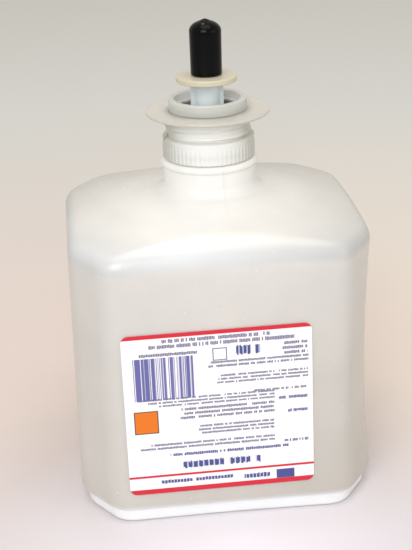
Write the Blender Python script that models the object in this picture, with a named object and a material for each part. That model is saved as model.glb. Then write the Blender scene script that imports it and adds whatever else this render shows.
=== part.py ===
"""Refill bottle of hand gel, with its piston pump, for a wall dispenser.

A blow-moulded bottle stands on its heel, pump upwards, as it does on a shelf. X runs along the
front wall, -Y faces the label, Z is up, and the origin is under the middle of the base. The snap-on
collar holds the pump in the neck. The dispenser grips the wide flange and works the engagement
disc, so the pump has no return spring of its own.
"""

import math

import bmesh
import bpy
import numpy as np

# Clearance between touching pieces, in metres as every length here
FIT = 0.0003

# Bottle body: a four-sided tube with a chamfer at each upright corner
BODY_WIDTH = 0.112
BODY_DEPTH = 0.1044
CHAMFER_WIDTH = 0.0125
CHAMFER_DEPTH = 0.0185
CORNER_RADIUS = 0.0055
BODY_TAPER = 0.016
BOTTLE_WALL = 0.0011
PANEL_SINK = 0.0020

# Bottle foot: a heel that steps in under the walls, and a base that is pushed up
HEEL_HEIGHT = 0.0056
HEEL_INSET = 0.0026
HEEL_ROUND = 0.0024
FOOT_ROUND = 0.0016
FOOT_WIDTH = 0.0065
PUSH_UP = 0.0030

# Shoulder: a slope from the neck root to a fillet that meets the walls and swells over the front and back
SHOULDER_TOP = 0.1136
SHOULDER_SLOPE = 0.20
SHOULDER_FILLET = 0.0065
CREST_FILLET = 0.0135
NECK_ROOT_RADIUS = 0.0174
NECK_ROOT_FILLET = 0.0040

# Neck: a support bead, then the finish that the collar snaps over
BEAD_RADIUS = 0.01825
BEAD_BOTTOM = 0.1224
BEAD_HEIGHT = 0.0032
FINISH_RADIUS = 0.0156
FINISH_STEP = 0.1328
MOUTH_RADIUS = 0.0142
MOUTH_TOP = 0.1405
NECK_WALL = 0.0012
SNAP_HEIGHT = 0.0016
SNAP_DEPTH = 0.0008
SNAP_LEVEL = 0.1286

# Collar: the flange that hangs in the dispenser, and its serrated skirt
FLANGE_RADIUS = 0.0230
FLANGE_THICKNESS = 0.0012
COLLAR_WALL = 0.0012
RIDGE_DEPTH = 0.0005
RIDGE_HEIGHT = 0.0012
RIDGE_LEVEL = 0.1364
SERRATION_COUNT = 60
SERRATION_DEPTH = 0.0003
SERRATION_TOP = 0.1314
SLOT_WIDTH = 0.0016
SLOT_HEIGHT = 0.0027
SLOT_TURN = math.radians(191)

# Gasket between the bottle's lip and the collar
GASKET_THICKNESS = 0.0009

# Pump cylinder: a cupped head ring over the flange, a wide guide bore and a narrow metering chamber
RING_RADIUS = 0.01456
RING_HEIGHT = 0.0042
RING_ROUND = 0.0004
CUP_RADIUS = 0.0124
CUP_DEPTH = 0.0028
GUIDE_BORE = 0.0104
GUIDE_LENGTH = 0.0160
CHAMBER_BORE = 0.0080
CHAMBER_LENGTH = 0.0200
CYLINDER_WALL = 0.0012
INLET_HOLE_COUNT = 6
INLET_HOLE_RADIUS = 0.0009
INLET_HOLE_CIRCLE = 0.0042

# Inlet valve: a soft umbrella whose stalk is pulled through the chamber's floor
UMBRELLA_RADIUS = 0.0060
UMBRELLA_THICKNESS = 0.0007
STALK_RADIUS = 0.0010
STALK_BULB = 0.0014

# Piston: a hollow stem with two webs and three sealing discs
STEM_RADIUS = 0.0046
STEM_BORE = 0.0022
WEB_COUNT = 2
WEB_RADIUS = 0.0061
WEB_THICKNESS = 0.0012
WEB_TURN = math.radians(-6)
SEAL_THICKNESS = 0.0007
SEAL_LIP = 0.0014
SEAL_SPACING = 0.0070
PORT_RADIUS = 0.0011
STROKE = 0.0055
STROKE_REST = 0.0006

# Engagement disc and the nozzle above it
DISC_RADIUS = 0.0113
DISC_THICKNESS = 0.0022
DISC_ROUND = 0.0005
DISC_RECESS = 0.0006
NOZZLE_RADIUS = 0.0041
NOZZLE_BORE = 0.0016
NOZZLE_LENGTH = 0.0145
SOCKET_DEPTH = 0.0030

# Cap: a dip-moulded sleeve with a domed end and a small drip
CAP_RADIUS = 0.0058
CAP_LENGTH = 0.0206
CAP_FLARE = 0.0001
CAP_DOME = 0.0039
CAP_DRIP = 0.0005
CAP_DRIP_RADIUS = 0.0007
CAP_LIP_ROUND = 0.0004

# Gel and label
GEL_LEVEL = 0.0995
LABEL_LEFT = -0.0385
LABEL_RIGHT = 0.0298
LABEL_BOTTOM = 0.0131
LABEL_TOP = 0.0767
LABEL_CORNER = 0.0028
LABEL_TURN = math.radians(0.5)
LABEL_THICKNESS = 0.0002

# Facets: spans along a chamfer, a side wall, a chamfer and the front or back wall, then round
# a bottle corner, round a turned piece and round the collar
WALL_SPANS = (2, 4, 2, 5)
CORNER_SPANS = 3
TURN_STEPS = 36
COLLAR_STEPS = 40

# Places that follow from the sizes above
GUIDE_OUTSIDE = GUIDE_BORE + CYLINDER_WALL
COLLAR_HOLE = GUIDE_OUTSIDE + FIT
COLLAR_PLATE = MOUTH_TOP + FIT + GASKET_THICKNESS + FIT
FLANGE_TOP = COLLAR_PLATE + FLANGE_THICKNESS
RING_BOTTOM = FLANGE_TOP + FIT
RING_TOP = RING_BOTTOM + RING_HEIGHT
DISC_BOTTOM = RING_TOP + STROKE_REST + STROKE
DISC_TOP = DISC_BOTTOM + DISC_THICKNESS
GUIDE_FLOOR = RING_BOTTOM - GUIDE_LENGTH
CHAMBER_FLOOR = GUIDE_FLOOR - CHAMBER_LENGTH
SKIRT_BOTTOM = BEAD_BOTTOM + BEAD_HEIGHT + FIT
WEB_TOP = DISC_BOTTOM + DISC_RECESS - FIT
STEM_TOP = DISC_BOTTOM + SOCKET_DEPTH - FIT
STEM_BOTTOM = CHAMBER_FLOOR + UMBRELLA_THICKNESS + STROKE + 3 * FIT


def clear_scene():
    for thing in list(bpy.data.objects):
        bpy.data.objects.remove(thing, do_unlink=True)


def finish(name, colour, roughness, alpha=1.0):
    """A plain plastic of one colour. Alpha below one marks a translucent moulding."""
    material = bpy.data.materials.new(name)
    material.use_nodes = True
    shader = material.node_tree.nodes["Principled BSDF"]
    shader.inputs["Base Color"].default_value = (*colour, 1.0)
    shader.inputs["Roughness"].default_value = roughness
    shader.inputs["Metallic"].default_value = 0.0
    shader.inputs["Alpha"].default_value = alpha
    return material


def add_object(name, bm, material=None, crease=32.0):
    """Turns a bmesh into a named object. Its faces point out, and edges past the crease angle are sharp."""
    bmesh.ops.recalc_face_normals(bm, faces=bm.faces)
    mesh = bpy.data.meshes.new(name)
    bm.to_mesh(mesh)
    bm.free()
    mesh.shade_smooth()
    mesh.set_sharp_from_angle(angle=math.radians(crease))
    thing = bpy.data.objects.new(name, mesh)
    if material:
        mesh.materials.append(material)
    bpy.context.collection.objects.link(thing)
    return thing


def arc(centre, radius, start, end, steps):
    """Points of an arc in the plane of radius and height, from one angle in degrees to another."""
    angles = np.radians(np.linspace(start, end, steps + 1))
    return [(centre[0] + radius * math.cos(a), centre[1] + radius * math.sin(a)) for a in angles]


def turned(profile, closed, steps=TURN_STEPS):
    """Spins a profile of (radius, height) points round Z. A closed profile makes a ring."""
    bm = bmesh.new()
    points = [bm.verts.new((radius, 0.0, height)) for radius, height in profile]
    edges = [bm.edges.new(pair) for pair in zip(points, points[1:])]
    if closed:
        edges.append(bm.edges.new((points[-1], points[0])))
    bmesh.ops.spin(bm, geom=points + edges, cent=(0, 0, 0), axis=(0, 0, 1),
                   angle=math.tau, steps=steps, use_merge=True)
    bmesh.ops.remove_doubles(bm, verts=bm.verts, dist=1e-6)
    return bm


def lofted(rings):
    """Joins rings of points into one closed skin, with a face over the first ring and over the last."""
    bm = bmesh.new()
    loops = [[bm.verts.new(point) for point in ring] for ring in rings]
    for lower, upper in zip(loops, loops[1:]):
        for index in range(len(lower)):
            after = (index + 1) % len(lower)
            bm.faces.new((lower[index], lower[after], upper[after], upper[index]))
    for loop in (loops[0], loops[-1]):
        bm.faces.new(loop)
    return bm


def drill(name, radius, depth):
    """A round cutter along Z, centred on the origin."""
    bm = bmesh.new()
    bmesh.ops.create_cone(bm, cap_ends=True, segments=12, radius1=radius, radius2=radius, depth=depth)
    return add_object(name, bm)


def block(name, low, high):
    """A box between two opposite corners."""
    bm = bmesh.new()
    bmesh.ops.create_cube(bm, size=1.0)
    low, high = np.array(low), np.array(high)
    bmesh.ops.scale(bm, verts=bm.verts, vec=high - low)
    bmesh.ops.translate(bm, verts=bm.verts, vec=(low + high) / 2)
    return add_object(name, bm)


def cut(thing, cutter, operation="DIFFERENCE"):
    """Adds a Boolean and hides its helper from renders."""
    modifier = thing.modifiers.new(cutter.name, "BOOLEAN")
    modifier.operation = operation
    modifier.object = cutter
    modifier.solver = "EXACT"
    cutter.hide_render = True
    cutter.display_type = "WIRE"


def body_outline(inset):
    """Points round the chamfered four-sided section, drawn in by inset, with round corners."""
    half_x, half_y = BODY_WIDTH / 2 - inset, BODY_DEPTH / 2 - inset
    slant = math.hypot(CHAMFER_WIDTH, CHAMFER_DEPTH)
    trim_x = inset * (slant - CHAMFER_WIDTH) / CHAMFER_DEPTH
    trim_y = inset * (slant - CHAMFER_DEPTH) / CHAMFER_WIDTH
    cut_x = half_x - CHAMFER_WIDTH + inset - trim_x
    cut_y = half_y - CHAMFER_DEPTH + inset - trim_y
    corners = [(cut_x, -half_y), (half_x, -cut_y), (half_x, cut_y), (cut_x, half_y),
               (-cut_x, half_y), (-half_x, cut_y), (-half_x, -cut_y), (-cut_x, -half_y)]
    corners = [np.array(corner) for corner in corners]
    points = []
    for index, corner in enumerate(corners):
        before, after = corners[index - 1], corners[(index + 1) % len(corners)]
        back = (before - corner) / np.linalg.norm(before - corner)
        ahead = (after - corner) / np.linalg.norm(after - corner)
        start, end = corner + back * CORNER_RADIUS, corner + ahead * CORNER_RADIUS
        for share in np.linspace(0.0, 1.0, CORNER_SPANS + 1):
            points.append(start * (1 - share) ** 2 + corner * 2 * share * (1 - share) + end * share ** 2)
        stop = after - ahead * CORNER_RADIUS
        spans = WALL_SPANS[index % 4]
        for share in np.linspace(0.0, 1.0, spans + 1)[1:-1]:
            points.append(end + (stop - end) * share)
    return np.array(points)


def fillet_at(across, inset):
    """Radius of the shoulder's fillet, which swells towards the middle of the front and back walls."""
    flat = BODY_WIDTH / 2 - CHAMFER_WIDTH
    swell = 1 - np.clip(np.abs(across) / flat, 0, 1) ** 2
    return SHOULDER_FILLET + (CREST_FILLET - SHOULDER_FILLET) * swell - inset


def wall_top_for(reach, fillet, inset):
    """Height where a wall ends under its fillet, when the slope reaches this far from the neck."""
    tilt = math.atan(SHOULDER_SLOPE)
    top = SHOULDER_TOP - inset * math.hypot(1, SHOULDER_SLOPE)
    return top - SHOULDER_SLOPE * (reach - fillet * (1 - math.sin(tilt))) - fillet * math.cos(tilt)


def bottle_skin(inset, fine):
    """Rings of the bottle's surface from the middle of the base to the neck root, drawn in by inset.

    The outer skin is fine. The inner one has softer corners, so fewer rings serve it.
    """
    outline = body_outline(inset)
    count = len(outline)
    spoke = outline / np.linalg.norm(outline, axis=1)[:, None]
    root = spoke * (NECK_ROOT_RADIUS + NECK_ROOT_FILLET - inset)
    reach = np.linalg.norm(outline - root, axis=1)

    tilt = math.atan(SHOULDER_SLOPE)
    fillet = fillet_at(outline[:, 0], inset)
    top = SHOULDER_TOP - inset * math.hypot(1, SHOULDER_SLOPE)
    wall_top = wall_top_for(reach, fillet, inset)
    wall_foot = HEEL_HEIGHT + HEEL_ROUND

    def drawn_in(share):
        """The outline at a share of the wall's height: tapered, with the right-hand wall bowed in."""
        ring = outline * (1 - BODY_TAPER * share)
        right = np.clip((outline[:, 0] - BODY_WIDTH / 2 + CHAMFER_WIDTH) / CHAMFER_WIDTH, 0, 1)
        ring[:, 0] -= PANEL_SINK * math.sin(math.pi * share) * right
        return ring

    def placed(ring, height):
        return np.column_stack([ring, np.broadcast_to(height, count)])

    rings = []
    foot = outline - spoke * HEEL_INSET
    for share in (0.3, 0.8):
        rise = inset + PUSH_UP * (1 - share ** 4)
        rings.append(placed(foot * share * (1 - FOOT_WIDTH / (BODY_DEPTH / 2)), rise))
    rings.append(placed(foot - spoke * FOOT_WIDTH, inset))
    for angle in np.radians((-90, -45, 0) if fine else (-90, 0)):
        rings.append(placed(foot - spoke * FOOT_ROUND * (1 - math.cos(angle)),
                            inset + FOOT_ROUND * (1 + math.sin(angle))))
    rings.append(placed(foot, HEEL_HEIGHT - FOOT_ROUND / 2 + inset))
    for angle in np.radians((-60, -30) if fine else (-45,)):
        rings.append(placed(outline - spoke * HEEL_ROUND * (1 - math.cos(angle)),
                            wall_foot + inset + HEEL_ROUND * math.sin(angle)))
    for share in np.linspace(0.0, 1.0, 7 if fine else 5):
        height = (wall_foot + inset) * (1 - share) + wall_top * share
        rings.append(placed(drawn_in(share), height))
    crest = drawn_in(1.0)
    inward = (root - crest) / np.linalg.norm(root - crest, axis=1)[:, None]
    for angle in np.linspace(0.0, math.pi / 2 - tilt, 6 if fine else 4)[1:]:
        rings.append(placed(crest + inward * fillet[:, None] * (1 - math.cos(angle)),
                            wall_top + fillet * math.sin(angle)))
    slope_ring, slope_height = rings[-1][:, :2], rings[-1][:, 2]
    for share in (0.35, 0.7, 1.0) if fine else (0.5, 1.0):
        rings.append(placed(slope_ring + (root - slope_ring) * share,
                            slope_height + (top - slope_height) * share))
    return rings, spoke


def build_bottle(material):
    """One blown shell: outer skin up to the lip, then the inner skin back down to the floor."""
    outer, spoke = bottle_skin(0.0, fine=True)
    inner, _ = bottle_skin(BOTTLE_WALL, fine=False)
    bead_top = BEAD_BOTTOM + BEAD_HEIGHT
    bead_round = BEAD_HEIGHT / 2
    bead_core = BEAD_RADIUS - bead_round
    neck = arc((NECK_ROOT_RADIUS + NECK_ROOT_FILLET, SHOULDER_TOP + NECK_ROOT_FILLET),
               NECK_ROOT_FILLET, 270, 180, 4)[1:]
    neck += [(bead_core + bead_round / 2, BEAD_BOTTOM - FIT)]
    neck += arc((bead_core, BEAD_BOTTOM + bead_round), bead_round, -60, 60, 4)
    neck += [(FINISH_RADIUS, bead_top)]
    neck += [(FINISH_RADIUS, SNAP_LEVEL - SNAP_HEIGHT / 2), (FINISH_RADIUS + SNAP_DEPTH, SNAP_LEVEL),
             (FINISH_RADIUS, SNAP_LEVEL + SNAP_HEIGHT / 2)]
    neck += [(FINISH_RADIUS, FINISH_STEP), (MOUTH_RADIUS, FINISH_STEP + FINISH_RADIUS - MOUTH_RADIUS)]
    neck += [(MOUTH_RADIUS, MOUTH_TOP)]
    bore = [(MOUTH_RADIUS - NECK_WALL, MOUTH_TOP), (MOUTH_RADIUS - NECK_WALL, FINISH_STEP),
            (FINISH_RADIUS - NECK_WALL, FINISH_STEP - FINISH_RADIUS + MOUTH_RADIUS),
            (FINISH_RADIUS - NECK_WALL, BEAD_BOTTOM)]
    throat = NECK_ROOT_RADIUS - BOTTLE_WALL
    bore += [(throat, BEAD_BOTTOM - NECK_ROOT_FILLET), (throat, SHOULDER_TOP + NECK_ROOT_FILLET / 2)]

    def turned_ring(radius, height):
        return np.column_stack([spoke * radius, np.full(len(spoke), height)])

    rings = outer + [turned_ring(*point) for point in neck + bore] + inner[::-1]
    return add_object("bottle", lofted(rings), material)


def build_gel(material):
    """The gel takes the inner skin's form, one clearance inside it, and is level at the fill line."""
    rings, _ = bottle_skin(BOTTLE_WALL + FIT, fine=False)
    below = [ring for ring in rings if ring[:, 2].max() < GEL_LEVEL]
    upper = np.array(rings[len(below) - 1:])
    surface = []
    for along in upper.transpose(1, 2, 0):
        surface.append([np.interp(GEL_LEVEL, along[2], place) for place in along[:2]] + [GEL_LEVEL])
    return add_object("gel", lofted(below + [surface]), material)


def build_label(material):
    """A die-cut film with round corners, which lies on the front wall and leans with its taper."""
    centre_x, centre_z = (LABEL_LEFT + LABEL_RIGHT) / 2, (LABEL_BOTTOM + LABEL_TOP) / 2
    half_x, half_z = (LABEL_RIGHT - LABEL_LEFT) / 2, (LABEL_TOP - LABEL_BOTTOM) / 2
    rim = []
    for side_x, side_z, start in ((1, -1, 270), (1, 1, 0), (-1, 1, 90), (-1, -1, 180)):
        corner = (side_x * (half_x - LABEL_CORNER), side_z * (half_z - LABEL_CORNER))
        rim += arc(corner, LABEL_CORNER, start, start + 90, 5)
    wall_foot = HEEL_HEIGHT + HEEL_ROUND
    wall_top = wall_top_for(BODY_DEPTH / 2 - NECK_ROOT_RADIUS - NECK_ROOT_FILLET, CREST_FILLET, 0.0)
    bm = bmesh.new()
    backs, fronts = [], []
    for along, up in rim:
        x = centre_x + along * math.cos(LABEL_TURN) - up * math.sin(LABEL_TURN)
        z = centre_z + along * math.sin(LABEL_TURN) + up * math.cos(LABEL_TURN)
        share = (z - wall_foot) / (wall_top - wall_foot)
        wall = -BODY_DEPTH / 2 * (1 - BODY_TAPER * share)
        backs.append(bm.verts.new((x, wall - FIT, z)))
        fronts.append(bm.verts.new((x, wall - FIT - LABEL_THICKNESS, z)))
    for index in range(len(rim)):
        after = (index + 1) % len(rim)
        bm.faces.new((backs[index], backs[after], fronts[after], fronts[index]))
    bm.faces.new(backs)
    bm.faces.new(fronts)
    return add_object("front_label", bm, material)


def build_collar(material):
    """Flange and stepped skirt in one moulding, grooved for the neck's snap bead and serrated outside."""
    upper_in = MOUTH_RADIUS + FIT
    upper_out = upper_in + COLLAR_WALL
    lower_in = FINISH_RADIUS + FIT
    lower_out = lower_in + COLLAR_WALL
    step = FINISH_STEP + FINISH_RADIUS - MOUTH_RADIUS
    groove = SNAP_HEIGHT / 2 + FIT
    edge = FLANGE_THICKNESS / 2
    profile = [(COLLAR_HOLE, COLLAR_PLATE), (COLLAR_HOLE, FLANGE_TOP)]
    profile += arc((FLANGE_RADIUS - edge, COLLAR_PLATE + edge), edge, 90, -90, 4)
    profile += [(upper_out, COLLAR_PLATE), (upper_out, RIDGE_LEVEL + RIDGE_HEIGHT / 2),
                (upper_out + RIDGE_DEPTH, RIDGE_LEVEL), (upper_out, RIDGE_LEVEL - RIDGE_HEIGHT / 2)]
    profile += [(upper_out, step + FIT), (lower_out - FIT, step - FIT), (lower_out, step - 2 * FIT)]
    profile += [(lower_out, SKIRT_BOTTOM + FIT), (lower_out - FIT, SKIRT_BOTTOM)]
    profile += [(lower_in, SKIRT_BOTTOM), (lower_in, SNAP_LEVEL - groove),
                (lower_in + SNAP_DEPTH, SNAP_LEVEL), (lower_in, SNAP_LEVEL + groove)]
    profile += [(lower_in, FINISH_STEP + FIT), (upper_in, step + FIT), (upper_in, COLLAR_PLATE)]
    collar = add_object("neck_collar", turned(profile, closed=True, steps=COLLAR_STEPS), material)

    band = bmesh.new()
    root = lower_out + SERRATION_DEPTH / 4
    rim = []
    for index in range(2 * SERRATION_COUNT):
        radius = root + (SERRATION_DEPTH if index % 2 else 0.0)
        angle = math.tau * index / (2 * SERRATION_COUNT)
        rim.append((radius * math.cos(angle), radius * math.sin(angle)))
    inner = lower_out - COLLAR_WALL / 3
    levels = (SKIRT_BOTTOM + 2 * FIT, SERRATION_TOP)
    outside = [[band.verts.new((x, y, z)) for x, y in rim] for z in levels]
    turns = np.linspace(0.0, math.tau, len(rim), endpoint=False)
    hole = [(inner * math.cos(turn), inner * math.sin(turn)) for turn in turns]
    inside = [[band.verts.new((x, y, z)) for x, y in hole] for z in levels]
    for index in range(len(rim)):
        after = (index + 1) % len(rim)
        for one, other in ((outside[0], outside[1]), (outside[1], inside[1]),
                           (inside[1], inside[0]), (inside[0], outside[0])):
            band.faces.new((one[index], one[after], other[after], other[index]))
    cut(collar, add_object("serration_band", band), "UNION")

    window = block("collar_slot", (upper_in - COLLAR_WALL, -SLOT_WIDTH / 2, step - SLOT_HEIGHT / 2),
                   (lower_out + COLLAR_WALL, SLOT_WIDTH / 2, step + SLOT_HEIGHT / 2))
    window.rotation_euler.z = SLOT_TURN
    cut(collar, window)
    return collar


def build_gasket(material):
    """A flat washer that the collar presses on the bottle's lip."""
    low = MOUTH_TOP + FIT
    high = low + GASKET_THICKNESS
    inner, outer = MOUTH_RADIUS - NECK_WALL, MOUTH_RADIUS
    profile = [(inner, low), (outer, low), (outer, high), (inner, high)]
    return add_object("neck_gasket", turned(profile, closed=True), material)


def build_cylinder(material):
    """Cupped ring, guide bore and metering chamber in one moulding, with inlet holes in the floor."""
    chamber_out = CHAMBER_BORE + CYLINDER_WALL
    lead = CYLINDER_WALL
    floor_low = CHAMBER_FLOOR - CYLINDER_WALL
    profile = [(STALK_RADIUS + FIT, floor_low), (chamber_out, floor_low)]
    profile += [(chamber_out, GUIDE_FLOOR - lead),
                (GUIDE_OUTSIDE, GUIDE_FLOOR - lead + (GUIDE_OUTSIDE - chamber_out) / 2)]
    profile += [(GUIDE_OUTSIDE, RING_BOTTOM)]
    profile += [(RING_RADIUS - RING_ROUND, RING_BOTTOM), (RING_RADIUS, RING_BOTTOM + RING_ROUND)]
    profile += arc((RING_RADIUS - RING_ROUND, RING_TOP - RING_ROUND), RING_ROUND, 0, 90, 3)
    profile += arc((CUP_RADIUS + RING_ROUND, RING_TOP - RING_ROUND), RING_ROUND, 90, 180, 3)
    profile += [(CUP_RADIUS, RING_TOP - CUP_DEPTH), (GUIDE_BORE, RING_TOP - CUP_DEPTH)]
    profile += [(GUIDE_BORE, GUIDE_FLOOR + (GUIDE_BORE - CHAMBER_BORE) / 2), (CHAMBER_BORE, GUIDE_FLOOR)]
    profile += [(CHAMBER_BORE, CHAMBER_FLOOR), (STALK_RADIUS + FIT, CHAMBER_FLOOR)]
    cylinder = add_object("pump_cylinder", turned(profile, closed=True), material)
    for index in range(INLET_HOLE_COUNT):
        angle = math.tau * index / INLET_HOLE_COUNT
        cutter = drill(f"inlet_drill_{index + 1}", INLET_HOLE_RADIUS, 3 * CYLINDER_WALL)
        cutter.location = (INLET_HOLE_CIRCLE * math.cos(angle), INLET_HOLE_CIRCLE * math.sin(angle),
                           CHAMBER_FLOOR - CYLINDER_WALL / 2)
        cut(cylinder, cutter)
    return cylinder


def build_inlet_valve(material):
    """A soft umbrella that lies on the chamber's floor, held by a bulb under it."""
    low = CHAMBER_FLOOR + FIT
    under = CHAMBER_FLOOR - CYLINDER_WALL - FIT
    profile = [(0.0, under - 2 * STALK_BULB), (STALK_BULB * 0.6, under - 2 * STALK_BULB),
               (STALK_BULB, under - FIT), (STALK_RADIUS, under), (STALK_RADIUS, low),
               (UMBRELLA_RADIUS, low), (UMBRELLA_RADIUS, low + UMBRELLA_THICKNESS / 3),
               (STALK_RADIUS * 1.5, low + UMBRELLA_THICKNESS), (0.0, low + UMBRELLA_THICKNESS)]
    return add_object("inlet_valve", turned(profile, closed=False, steps=32), material)


def build_piston(material):
    """Stem tube with sealing discs, two webs and two ports, on its sliding axis."""
    lip_radius = CHAMBER_BORE - FIT
    guide_radius = GUIDE_BORE - FIT
    seal_low = STEM_BOTTOM + SEAL_LIP
    guide_low = GUIDE_FLOOR + (GUIDE_BORE - CHAMBER_BORE) / 2 + STROKE + 2 * FIT
    profile = [(STEM_BORE, STEM_BOTTOM), (STEM_RADIUS, STEM_BOTTOM)]
    for level in (seal_low, seal_low + SEAL_SPACING):
        profile += [(STEM_RADIUS, level), (lip_radius, level - SEAL_LIP / 2),
                    (lip_radius, level + SEAL_THICKNESS), (STEM_RADIUS, level + 2 * SEAL_THICKNESS)]
    profile += [(STEM_RADIUS, guide_low), (guide_radius, guide_low),
                (guide_radius, guide_low + SEAL_LIP), (guide_radius - SEAL_THICKNESS, guide_low + SEAL_LIP),
                (guide_radius - SEAL_THICKNESS, guide_low + SEAL_THICKNESS),
                (STEM_RADIUS, guide_low + SEAL_THICKNESS)]
    profile += [(STEM_RADIUS, WEB_TOP), (NOZZLE_RADIUS - 2 * FIT, WEB_TOP),
                (NOZZLE_RADIUS - 2 * FIT, STEM_TOP), (STEM_BORE, STEM_TOP)]
    piston = add_object("piston_stem", turned(profile, closed=True), material)
    for index in range(WEB_COUNT):
        web = block(f"web_{index + 1}",
                    ((STEM_RADIUS + STEM_BORE) / 2, -WEB_THICKNESS / 2, guide_low + SEAL_THICKNESS / 2),
                    (WEB_RADIUS, WEB_THICKNESS / 2, WEB_TOP))
        web.rotation_euler.z = WEB_TURN + math.tau * index / WEB_COUNT
        cut(piston, web, "UNION")
    port = drill("port_drill", PORT_RADIUS, 2 * STEM_RADIUS + SEAL_THICKNESS)
    port.rotation_euler.y = math.pi / 2
    port.location.z = seal_low + SEAL_SPACING / 2 + SEAL_THICKNESS
    cut(piston, port)
    return piston


def build_nozzle(material, piston):
    """The engagement disc, recessed for the webs and socketed for the stem, and the nozzle above."""
    socket = NOZZLE_RADIUS - FIT
    shoulder = DISC_BOTTOM + SOCKET_DEPTH
    tip = DISC_TOP + NOZZLE_LENGTH
    recess = WEB_RADIUS + FIT
    ceiling = DISC_BOTTOM + DISC_RECESS
    profile = [(socket, ceiling), (recess, ceiling), (recess, DISC_BOTTOM)]
    profile += [(DISC_RADIUS - DISC_ROUND, DISC_BOTTOM), (DISC_RADIUS, DISC_BOTTOM + DISC_ROUND)]
    profile += arc((DISC_RADIUS - DISC_ROUND, DISC_TOP - DISC_ROUND), DISC_ROUND, 0, 90, 3)
    profile += [(NOZZLE_RADIUS, DISC_TOP), (NOZZLE_RADIUS, tip - DISC_ROUND),
                (NOZZLE_RADIUS - DISC_ROUND, tip), (NOZZLE_BORE, tip)]
    profile += [(NOZZLE_BORE, shoulder), (socket, shoulder)]
    nozzle = add_object("discharge_nozzle", turned(profile, closed=True), material)
    nozzle.parent = piston
    return nozzle


def build_cap(material, nozzle):
    """A dip-moulded sleeve: a thin wall that widens towards its domed end, with a small drip on top."""
    low = DISC_TOP + FIT
    wall = CAP_RADIUS - NOZZLE_RADIUS - FIT
    top = DISC_TOP + CAP_LENGTH
    dome_low = top - CAP_DRIP - CAP_DOME
    wide = CAP_RADIUS + CAP_FLARE
    outside = [(CAP_RADIUS - CAP_LIP_ROUND, low), (CAP_RADIUS, low + CAP_LIP_ROUND)]
    outside += [((CAP_RADIUS + wide) / 2, (low + dome_low) / 2)]
    for angle in np.radians((0, 20, 38, 54, 68)):
        outside.append((wide * math.cos(angle), dome_low + CAP_DOME * math.sin(angle)))
    outside += [(CAP_DRIP_RADIUS, top - CAP_DRIP / 3), (0.0, top)]
    crown = DISC_TOP + NOZZLE_LENGTH + FIT
    bore = CAP_RADIUS - wall
    inside = [(0.0, crown), (bore - DISC_ROUND, crown), (bore, crown - DISC_ROUND), (bore, low)]
    cap = add_object("tip_cap", turned(inside + outside, closed=False), material)
    cap.parent = nozzle
    return cap


clear_scene()
build_bottle(finish("frosted_polyethylene", (0.90, 0.88, 0.84), 0.45, 0.55))
build_gel(finish("clear_gel", (0.86, 0.82, 0.78), 0.25, 0.7))
build_label(finish("white_film_label", (0.95, 0.95, 0.96), 0.4))
build_collar(finish("natural_polypropylene", (0.88, 0.87, 0.80), 0.4, 0.7))
build_gasket(finish("foam_gasket", (0.85, 0.86, 0.84), 0.7))
build_cylinder(finish("grey_polypropylene", (0.76, 0.77, 0.73), 0.4, 0.75))
build_inlet_valve(finish("soft_silicone", (0.82, 0.84, 0.85), 0.5))
piston_object = build_piston(finish("blue_white_polyethylene", (0.82, 0.88, 0.90), 0.35))
nozzle_object = build_nozzle(finish("cream_polypropylene", (0.90, 0.85, 0.76), 0.4), piston_object)
build_cap(finish("black_vinyl", (0.012, 0.010, 0.014), 0.15), nozzle_object)
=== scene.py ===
"""Looks of the hand gel refill: a frosted bottle of gel with its label, collar, pump, nozzle and cap."""

import math

import bpy
import numpy as np
from mathutils import Matrix


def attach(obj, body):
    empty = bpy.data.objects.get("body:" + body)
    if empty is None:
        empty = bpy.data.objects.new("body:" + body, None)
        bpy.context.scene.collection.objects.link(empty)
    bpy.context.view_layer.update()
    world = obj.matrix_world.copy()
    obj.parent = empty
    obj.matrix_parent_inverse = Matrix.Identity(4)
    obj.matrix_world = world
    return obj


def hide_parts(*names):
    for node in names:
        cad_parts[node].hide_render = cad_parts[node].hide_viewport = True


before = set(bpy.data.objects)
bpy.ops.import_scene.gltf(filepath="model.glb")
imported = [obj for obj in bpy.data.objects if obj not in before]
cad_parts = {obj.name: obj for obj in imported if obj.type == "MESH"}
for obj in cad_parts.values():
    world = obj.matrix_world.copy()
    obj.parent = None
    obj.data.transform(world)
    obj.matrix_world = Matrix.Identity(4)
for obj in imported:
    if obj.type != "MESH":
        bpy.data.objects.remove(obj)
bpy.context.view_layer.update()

# Bottle
# One blown shell of frosted polyethylene, about a millimetre thick and hollow. It is blown in a
# split mould, so it has a parting line, a heel that steps in and a pushed-up base.
BODY_WIDTH = 0.112
BODY_DEPTH = 0.1044
CHAMFER_WIDTH = 0.0125
CHAMFER_DEPTH = 0.0185
CORNER_RADIUS = 0.0055
BODY_TAPER = 0.016
BOTTLE_WALL = 0.0011
PANEL_SINK = 0.0020
HEEL_HEIGHT = 0.0056
HEEL_INSET = 0.0026
HEEL_ROUND = 0.0024
FOOT_ROUND = 0.0016
FOOT_WIDTH = 0.0065
PUSH_UP = 0.0030
SHOULDER_TOP = 0.1136
SHOULDER_SLOPE = 0.20
SHOULDER_FILLET = 0.0065
CREST_FILLET = 0.0135
NECK_ROOT_RADIUS = 0.0174
NECK_ROOT_FILLET = 0.0040
BEAD_RADIUS = 0.01825
BEAD_BOTTOM = 0.1224
BEAD_HEIGHT = 0.0032
BEAD_STEP = 0.0003
FINISH_RADIUS = 0.0156
FINISH_STEP = 0.1328
MOUTH_RADIUS = 0.0142
MOUTH_TOP = 0.1405
NECK_WALL = 0.0012
SNAP_HEIGHT = 0.0016
SNAP_DEPTH = 0.0008
SNAP_LEVEL = 0.1286
GEL_LEVEL = 0.0995
WALL_FOOT = HEEL_HEIGHT + HEEL_ROUND
WALL_SPANS = (10, 22, 10, 28)
CORNER_SPANS = 9
GEL_EDGE = 0.0014
GEL_WANDER = 0.0006
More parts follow.
